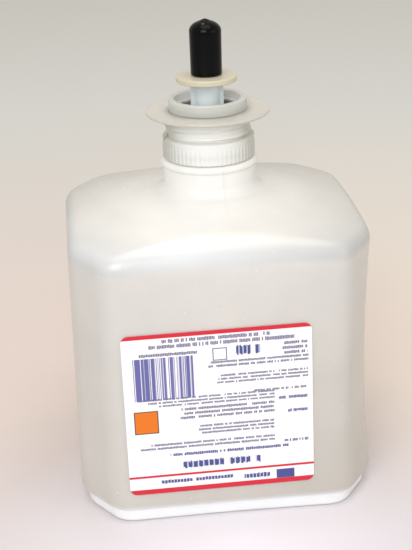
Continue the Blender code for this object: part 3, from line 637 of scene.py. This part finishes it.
def collar_rings():
    """The turned profile with serrations, the thread's ridge and the window pressed into its outside."""
    upper_in = MOUTH_RADIUS + FIT
    upper_out = upper_in + COLLAR_WALL
    lower_in = FINISH_RADIUS + FIT
    lower_out = lower_in + COLLAR_WALL
    step = FINISH_STEP + FINISH_RADIUS - MOUTH_RADIUS
    groove = SNAP_HEIGHT / 2 + FIT
    edge = FLANGE_THICKNESS / 2
    profile = [(COLLAR_HOLE, COLLAR_PLATE), (COLLAR_HOLE, FLANGE_TOP)]
    profile += arc((FLANGE_RADIUS - edge, COLLAR_PLATE + edge), edge, 90, -90, 10)
    outside = [(upper_out + SKIRT_CHAMFER, COLLAR_PLATE), (upper_out, COLLAR_PLATE - SKIRT_CHAMFER),
               (upper_out, step + FIT), (lower_out - FIT, step - FIT), (lower_out, step - 2 * FIT),
               (lower_out, SKIRT_BOTTOM + FIT), (lower_out - FIT, SKIRT_BOTTOM)]
    profile += fine(outside)
    profile += [(lower_in, SKIRT_BOTTOM), (lower_in, SNAP_LEVEL - groove),
                (lower_in + SNAP_DEPTH, SNAP_LEVEL), (lower_in, SNAP_LEVEL + groove)]
    profile += [(lower_in, FINISH_STEP + FIT), (upper_in, step + FIT), (upper_in, COLLAR_PLATE)]
    rings = turned(profile, 480)
    radius = np.hypot(rings[..., 0], rings[..., 1])
    turn = np.arctan2(rings[..., 1], rings[..., 0])
    height = rings[..., 2]
    outer = radius > upper_out - 1e-5
    skirt = outer & (height < COLLAR_PLATE - PLAIN_EDGE)
    tooth = 0.5 - 0.5 * np.cos(turn * SERRATION_COUNT)
    toothed = skirt & (height < SERRATION_TOP) & (height > SKIRT_BOTTOM + PLAIN_EDGE)
    grow = np.where(toothed, SERRATION_DEPTH * tooth, 0.0)
    phase = np.mod((height - step) / THREAD_PITCH - turn / math.tau, 1.0)
    ridge = np.clip(1 - np.abs(phase - 0.5) * 5, 0, 1)
    threaded = skirt & (height > step + THREAD_START) & (height < COLLAR_PLATE - THREAD_END)
    grow = grow + np.where(threaded, THREAD_DEPTH * ridge, 0.0)
    aside = np.abs(np.mod(turn - WINDOW_TURN + math.pi, math.tau) - math.pi) * lower_out
    window = outer & (aside < WINDOW_WIDTH / 2) & (np.abs(height - step) < WINDOW_HEIGHT / 2)
    grow = np.where(window, -WINDOW_DEPTH, grow)
    rings[..., :2] *= ((radius + grow) / radius)[..., None]
    return rings


def dot_with(tree, place, direction):
    """How far each place lies along a direction."""
    return add_node(tree, "VectorMath", {0: place, 1: direction}, operation="DOT_PRODUCT").outputs["Value"]


def collar_material():
    """Natural polypropylene: painted shade towards its sides as seen, clearer in the flange, and painted
    shade in the window.
    """
    material, tree, shader, place = plain_plastic("natural_polypropylene", (0.95, 0.97, 0.94), 0.28,
                                                  IOR=1.49, Subsurface_Weight=0.5, Subsurface_Scale=0.003,
                                                  Subsurface_Radius=(1.0, 1.0, 0.9))
    parts = add_node(tree, "SeparateXYZ", {0: place})
    across = dot_with(tree, place, (-math.sin(WINDOW_TURN), math.cos(WINDOW_TURN), 0.0))
    along = dot_with(tree, place, (math.cos(WINDOW_TURN), math.sin(WINDOW_TURN), 0.0))
    step = FINISH_STEP + FINISH_RADIUS - MOUTH_RADIUS
    rise = sum_of(tree, "ABSOLUTE", sum_of(tree, "SUBTRACT", parts.outputs["Z"], step))
    inside = sum_of(tree, "LESS_THAN", sum_of(tree, "ABSOLUTE", across), WINDOW_WIDTH / 2)
    inside = sum_of(tree, "MULTIPLY", inside, sum_of(tree, "LESS_THAN", rise, WINDOW_HEIGHT / 2))
    inside = sum_of(tree, "MULTIPLY", inside, sum_of(tree, "GREATER_THAN", along, 0.0))
    pale = shader.inputs["Base Color"].links[0].from_socket
    # Painted shade: darker towards the sides as seen, where the surface turns away
    facing = add_node(tree, "LayerWeight", {"Blend": 0.35}).outputs["Facing"]
    pale = mix_of(tree, ramp_of(tree, facing, 0.03, 0.40), pale, (0.54, 0.545, 0.505, 1))
    flange = ramp_of(tree, parts.outputs["Z"], COLLAR_PLATE - 0.0004, COLLAR_PLATE)
    pale = mix_of(tree, flange, pale, (0.87, 0.84, 0.77, 1))
    tree.links.new(sum_of(tree, "MULTIPLY_ADD", flange, 0.47, 0.08), shader.inputs["Transmission Weight"])
    # Painted shade: the window's recess is coloured dark
    tree.links.new(mix_of(tree, inside, pale, (0.30, 0.27, 0.21, 1)), shader.inputs["Base Color"])
    return material


collar = skin("collar_moulding", collar_rings(), collar_material(), "bottle_and_pump",
              closed=True)
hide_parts("neck_collar")


# Gasket and inlet valve
# The foam washer under the collar and the silicone umbrella in the pump's floor are hidden, so their
# solids are carried as they are, in foam and in silicone.
def foam_material():
    """Closed-cell foam: small pits, darkened with painted shade, over a matt grey-white."""
    material, tree, shader, place = plain_plastic("foam_gasket", (0.80, 0.81, 0.79), 0.75, IOR=1.45)
    pits = add_node(tree, "TexVoronoi", {"Vector": place, "Scale": 3000.0}).outputs["Distance"]
    # Painted shade in the pits
    tone = mix_of(tree, ramp_of(tree, pits, 0.1, 0.6), (0.60, 0.61, 0.59, 1), (0.85, 0.86, 0.84, 1))
    tree.links.new(tone, shader.inputs["Base Color"])
    return material


for node_name, node_material in (("neck_gasket", foam_material()),
                                 ("inlet_valve", plain_plastic("soft_silicone", (0.78, 0.80, 0.81), 0.45,
                                                               IOR=1.41, Transmission_Weight=0.3)[0])):
    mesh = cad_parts[node_name].data
    mesh.materials.clear()
    mesh.materials.append(node_material)


# Pump cylinder
# Greyish polypropylene moulding: the head ring that rests on the flange, the guide bore under it, and
# the metering chamber down the neck. Only the ring and the bore's mouth show.
RING_RADIUS = 0.01456
RING_HEIGHT = 0.0042
RING_ROUND = 0.0004
CUP_RADIUS = 0.0124
CUP_DEPTH = 0.0028
GUIDE_BORE = 0.0104
GUIDE_LENGTH = 0.0160
CHAMBER_BORE = 0.0080
CHAMBER_LENGTH = 0.0200
CYLINDER_WALL = 0.0012
STALK_HOLE = 0.0013
RING_BOTTOM = FLANGE_TOP + TOUCH
RING_TOP = FLANGE_TOP + FIT + RING_HEIGHT
GUIDE_FLOOR = FLANGE_TOP + FIT - GUIDE_LENGTH
CHAMBER_FLOOR = GUIDE_FLOOR - CHAMBER_LENGTH


def cylinder_rings():
    """The same profile as the solid, with finer rounds."""
    guide_out = COLLAR_HOLE - FIT
    chamber_out = CHAMBER_BORE + CYLINDER_WALL
    floor_low = CHAMBER_FLOOR - CYLINDER_WALL
    guide_low = GUIDE_FLOOR - CYLINDER_WALL
    profile = [(STALK_HOLE, floor_low), (chamber_out, floor_low), (chamber_out, guide_low),
               (guide_out, guide_low + (guide_out - chamber_out) / 2), (guide_out, RING_BOTTOM)]
    profile += arc((RING_RADIUS - RING_ROUND, RING_BOTTOM + RING_ROUND), RING_ROUND, -90, 0, 6)
    profile += arc((RING_RADIUS - RING_ROUND, RING_TOP - RING_ROUND), RING_ROUND, 0, 90, 6)
    profile += arc((CUP_RADIUS + RING_ROUND, RING_TOP - RING_ROUND), RING_ROUND, 90, 180, 6)
    profile += [(CUP_RADIUS, RING_TOP - CUP_DEPTH), (GUIDE_BORE, RING_TOP - CUP_DEPTH)]
    profile += [(GUIDE_BORE, GUIDE_FLOOR + (GUIDE_BORE - CHAMBER_BORE) / 2), (CHAMBER_BORE, GUIDE_FLOOR),
                (CHAMBER_BORE, CHAMBER_FLOOR), (STALK_HOLE, CHAMBER_FLOOR)]
    return turned(profile)


def cylinder_material():
    """Grey natural plastic, with painted light inside the cup where light comes through, and painted shade
    down the bore.
    """
    material, tree, shader, place = plain_plastic("grey_polypropylene", (0.68, 0.69, 0.66), 0.30,
                                                  IOR=1.49, Transmission_Weight=0.30,
                                                  Subsurface_Weight=0.5, Subsurface_Scale=0.003,
                                                  Subsurface_Radius=(1.0, 1.0, 0.9))
    parts = add_node(tree, "SeparateXYZ", {0: place})
    flat_place = add_node(tree, "VectorMath", {0: place, 1: (1.0, 1.0, 0.0)}, operation="MULTIPLY").outputs[0]
    radius = add_node(tree, "VectorMath", {0: flat_place}, operation="LENGTH").outputs["Value"]
    cup = ramp_of(tree, radius, CUP_RADIUS + 0.0003, CUP_RADIUS + 0.0005, 1.0, 0.0)
    cup_floor = RING_TOP - CUP_DEPTH
    below = ramp_of(tree, parts.outputs["Z"], cup_floor - 0.0012, cup_floor, 1.0, 0.0)
    narrow = ramp_of(tree, radius, GUIDE_BORE + 0.0001, GUIDE_BORE + 0.0002, 1.0, 0.0)
    bore = sum_of(tree, "MULTIPLY", narrow, below)
    grey = shader.inputs["Base Color"].links[0].from_socket
    # Painted light: the inside of the cup is pale where light comes through
    tone = mix_of(tree, cup, grey, (0.97, 0.98, 0.95, 1))
    # Painted shade: dark down the bore below the cup's floor
    tree.links.new(mix_of(tree, bore, tone, (0.28, 0.26, 0.22, 1)), shader.inputs["Base Color"])
    return material


cylinder = skin("cylinder_moulding", cylinder_rings(), cylinder_material(), "bottle_and_pump",
                closed=True)
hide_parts("pump_cylinder")


# Piston
# A bluish-white stem with two webs and three sealing discs, moulded in one. It slides in the cylinder,
# pressed up into the disc above.
STEM_RADIUS = 0.0046
STEM_BORE = 0.0022
WEB_RADIUS = 0.0061
WEB_THICKNESS = 0.0012
WEB_TURN = math.radians(-6)
SEAL_THICKNESS = 0.0007
SEAL_LIP = 0.0014
SEAL_SPACING = 0.0070
STROKE = 0.0055
STROKE_REST = 0.0006
NOZZLE_RADIUS = 0.0041
SOCKET_DEPTH = 0.0030
DISC_RECESS = 0.0006
DISC_BOTTOM = RING_TOP + STROKE_REST + STROKE


def piston_rings():
    """The turned stem; between the guide disc and the top its two sides swell into the webs."""
    low = CHAMBER_FLOOR + SEAL_THICKNESS + STROKE + 3 * FIT
    lip_radius = CHAMBER_BORE - FIT
    guide_radius = GUIDE_BORE - FIT
    seal_low = low + SEAL_LIP
    guide_low = GUIDE_FLOOR + (GUIDE_BORE - CHAMBER_BORE) / 2 + STROKE + 2 * FIT
    profile = [(STEM_BORE, low), (STEM_RADIUS, low)]
    for level in (seal_low, seal_low + SEAL_SPACING):
        profile += [(STEM_RADIUS, level), (lip_radius, level - SEAL_LIP / 2),
                    (lip_radius, level + SEAL_THICKNESS), (STEM_RADIUS, level + 2 * SEAL_THICKNESS)]
    guide_top = guide_low + SEAL_THICKNESS
    lip_inside = guide_radius - SEAL_THICKNESS
    profile += [(STEM_RADIUS, guide_low), (guide_radius, guide_low), (guide_radius, guide_low + SEAL_LIP),
                (lip_inside, guide_low + SEAL_LIP), (lip_inside, guide_top), (STEM_RADIUS, guide_top)]
    web_top = DISC_BOTTOM + DISC_RECESS - FIT
    spigot = NOZZLE_RADIUS - 2 * FIT
    spigot_top = DISC_BOTTOM + SOCKET_DEPTH - FIT
    profile += [(STEM_RADIUS, guide_top + FIT), (STEM_RADIUS, web_top), (spigot, web_top),
                (spigot, spigot_top), (STEM_BORE, spigot_top)]
    rings = turned(profile, 240)
    radius = np.hypot(rings[..., 0], rings[..., 1])
    turn = np.arctan2(rings[..., 1], rings[..., 0]) - WEB_TURN
    height = rings[..., 2]
    shank = (np.abs(radius - STEM_RADIUS) < 1e-6) & (height > guide_top + FIT / 2)
    half = np.arcsin(WEB_THICKNESS / 2 / STEM_RADIUS)
    at_web = np.abs(np.mod(turn + math.pi / 2, math.pi) - math.pi / 2) < half
    wider = np.where(shank & at_web, WEB_RADIUS, radius)
    rings[..., :2] *= (wider / radius)[..., None]
    return rings


piston_material = plain_plastic("blue_white_polyethylene", (0.84, 0.93, 0.98), 0.30, IOR=1.51,
                                Transmission_Weight=0.12)[0]
piston = skin("piston_moulding", piston_rings(), piston_material, "piston", closed=True)
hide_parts("piston_stem")


# Disc and nozzle
# Cream polypropylene in one moulding: the disc that the dispenser's lever grips, and the narrow nozzle
# above it, which the cap covers. It is pressed on the stem.
DISC_RADIUS = 0.0113
DISC_THICKNESS = 0.0022
DISC_ROUND = 0.0005
NOZZLE_BORE = 0.0016
NOZZLE_LENGTH = 0.0145
DISC_TOP = DISC_BOTTOM + DISC_THICKNESS


def nozzle_rings():
    """Disc with a rounded rim, nozzle with a small round at its tip, and the bore with its socket."""
    socket = NOZZLE_RADIUS - FIT
    shoulder = DISC_BOTTOM + SOCKET_DEPTH
    tip = DISC_TOP + NOZZLE_LENGTH
    recess = WEB_RADIUS + FIT
    ceiling = DISC_BOTTOM + DISC_RECESS
    profile = [(socket, ceiling), (recess, ceiling), (recess, DISC_BOTTOM)]
    profile += arc((DISC_RADIUS - DISC_ROUND, DISC_BOTTOM + DISC_ROUND), DISC_ROUND, -90, 0, 6)
    profile += arc((DISC_RADIUS - DISC_ROUND, DISC_TOP - DISC_ROUND), DISC_ROUND, 0, 90, 6)
    profile += [(NOZZLE_RADIUS, DISC_TOP)]
    profile += arc((NOZZLE_RADIUS - DISC_ROUND, tip - DISC_ROUND), DISC_ROUND, 0, 90, 6)
    profile += [(NOZZLE_BORE, tip), (NOZZLE_BORE, shoulder), (socket, shoulder)]
    return turned(profile)


nozzle_material = plain_plastic("cream_polypropylene", (0.63, 0.58, 0.445), 0.32, IOR=1.49,
                                Transmission_Weight=0.10)[0]
nozzle = skin("nozzle_moulding", nozzle_rings(), nozzle_material, "piston", closed=True)
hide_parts("discharge_nozzle")


# Cap
# A dip-moulded sleeve of soft black vinyl, pushed over the nozzle. Dipping leaves a glossy skin, a
# slightly wider domed end and a small drip on top.
CAP_RADIUS = 0.0058
CAP_LENGTH = 0.0206
CAP_FLARE = 0.0001
CAP_DOME = 0.0039
CAP_DRIP = 0.0005
CAP_DRIP_RADIUS = 0.0016
CAP_LIP_ROUND = 0.0004
CAP_DOME_END = 68
CAP_POLE = 0.0001


def cap_rings():
    """Inside from the crown down to the lip, then the outside up to the drip."""
    low = DISC_TOP + FIT
    top = DISC_TOP + CAP_LENGTH
    dome_low = top - CAP_DRIP - CAP_DOME
    wide = CAP_RADIUS + CAP_FLARE
    bore = NOZZLE_RADIUS + FIT
    crown = DISC_TOP + NOZZLE_LENGTH + FIT
    profile = [(CAP_POLE, crown), (bore - DISC_ROUND, crown), (bore, crown - DISC_ROUND), (bore, low)]
    profile += arc((CAP_RADIUS - CAP_LIP_ROUND, low + CAP_LIP_ROUND), CAP_LIP_ROUND, -90, 0, 5)
    side_low = low + CAP_LIP_ROUND
    profile += [(CAP_RADIUS + CAP_FLARE * share, side_low + (dome_low - side_low) * share)
                for share in np.linspace(0.1, 0.95, 12)]
    for angle in np.radians(np.linspace(0, CAP_DOME_END, 16)):
        profile.append((wide * math.cos(angle), dome_low + CAP_DOME * math.sin(angle)))
    profile += [(CAP_DRIP_RADIUS, top - CAP_DRIP), (CAP_DRIP_RADIUS * 0.6, top - CAP_DRIP * 0.45),
                (CAP_DRIP_RADIUS * 0.3, top - CAP_DRIP * 0.12), (CAP_POLE, top)]
    return turned(profile, 96)


cap_material = plain_plastic("black_vinyl", (0.002, 0.0018, 0.0024), 0.10, grain=700.0, depth=0.00003,
                             IOR=1.54, Specular_IOR_Level=0.10)[0]
cap = skin("cap_sleeve", cap_rings(), cap_material, "cap")
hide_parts("tip_cap")


# Floor, light and camera
# A pale sheet of paper under a light from the front left, a large soft one above, a small one behind that
# lights the shoulder's crest, and a weak warm one from the right. The camera stands where the photo's did.
FLOOR_SIZE = 6.0
# Middle of the pool of light painted on the paper
FLOOR_LIGHT_POOL = (0.0, -0.07, 0.0)


def floor_material():
    """Paper with a faint grain and painted light and shade: pinkish and darker in front, warmer behind,
    lighter on the right, a pool of light just in front of the bottle, greyer far off.
    """
    material, tree, shader, place = new_material("paper", Roughness=0.9, Specular_IOR_Level=0.1)
    parts = add_node(tree, "SeparateXYZ", {0: place})
    back = parts.outputs["Y"]
    # Painted shade: darker and pinkish in front, warmer and lighter behind
    colour = mix_of(tree, ramp_of(tree, back, -0.09, 0.05), (0.59, 0.555, 0.59, 1), (0.69, 0.60, 0.555, 1))
    # Painted light: lighter on the right, behind the front edge
    right = sum_of(tree, "MULTIPLY", ramp_of(tree, parts.outputs["X"], 0.04, 0.12, 0.0, 0.8),
                   ramp_of(tree, back, -0.06, 0.02))
    colour = mix_of(tree, right, colour, (0.77, 0.69, 0.62, 1))
    # Painted shade: greyer farther from the bottle
    away = distance_to(tree, place, (0.0, 0.0, 0.0))
    colour = mix_of(tree, ramp_of(tree, away, 0.15, 0.55), colour, (0.68, 0.69, 0.665, 1))
    # Painted pool of light on the paper just in front of the bottle
    near = distance_to(tree, place, FLOOR_LIGHT_POOL)
    colour = mix_of(tree, ramp_of(tree, near, 0.0, 0.10, 0.85, 0.0), colour, (0.81, 0.79, 0.84, 1))
    fibre = ramp_of(tree, noise_of(tree, place, 900.0, 4.0), 0.3, 0.7, 0.99, 1.01)
    tint(tree, shader, colour, fibre)
    emboss(tree, shader, noise_of(tree, place, 1500.0), 0.00005, 0.3)
    return material


floor_mesh = bpy.data.meshes.new("floor")
half = FLOOR_SIZE / 2
floor_corners = [(-half, -half, 0), (half, -half, 0), (half, half, 0), (-half, half, 0)]
floor_mesh.from_pydata(floor_corners, [], [(0, 1, 2, 3)])
floor_mesh.materials.append(floor_material())
floor = bpy.data.objects.new("floor", floor_mesh)
bpy.context.collection.objects.link(floor)

world = bpy.data.worlds.new("studio")
world.use_nodes = True
background = world.node_tree.nodes["Background"]
background.inputs["Color"].default_value = (1.0, 0.95, 0.88, 1)
background.inputs["Strength"].default_value = 0.70
bpy.context.scene.world = world


def stand(thing, place, right, up, away):
    """Puts a light or camera at a place, with its three axes along these directions."""
    turn = Matrix([(right[i], up[i], away[i]) for i in range(3)]).to_4x4()
    thing.matrix_world = Matrix.Translation(place) @ turn
    bpy.context.collection.objects.link(thing)


def softbox(name, place, target, size, power, colour):
    """A square area light at a place, facing a target."""
    light = bpy.data.lights.new(name, "AREA")
    light.shape = "SQUARE"
    light.size = size
    light.energy = power
    light.color = colour
    away = np.array(place) - np.array(target)
    away = away / np.linalg.norm(away)
    right = np.cross((0, 0, 1), away)
    right = right / np.linalg.norm(right)
    stand(bpy.data.objects.new(name, light), place, right, np.cross(away, right), away)


softbox("key_light", (-0.20, -0.60, 0.48), (0.0, 0.0, 0.09), 0.40, 2.7, (0.98, 0.99, 1.0))
softbox("top_light", (0.05, -0.20, 1.30), (0.0, 0.0, 0.0), 0.9, 5.2, (0.99, 0.99, 1.0))
softbox("crest_light", (-0.06, 0.42, 1.0), (0.0, -0.04, 0.108), 0.16, 0.55, (1.0, 1.0, 1.0))
softbox("fill_light", (0.62, -0.42, 0.30), (0.0, 0.0, 0.07), 0.5, 0.60, (1.0, 0.95, 0.88))

camera_data = bpy.data.cameras.new("photo_camera")
camera_data.sensor_width = 36.0
camera_data.lens = 87.34
camera = bpy.data.objects.new("photo_camera", camera_data)
stand(camera, (-0.048538, -0.479480, 0.269223),
      (0.9937, -0.1077, -0.0315), (0.0690, 0.3656, 0.9282), (-0.0885, -0.9245, 0.3707))
bpy.context.scene.camera = camera
bpy.context.scene.view_settings.view_transform = "Standard"
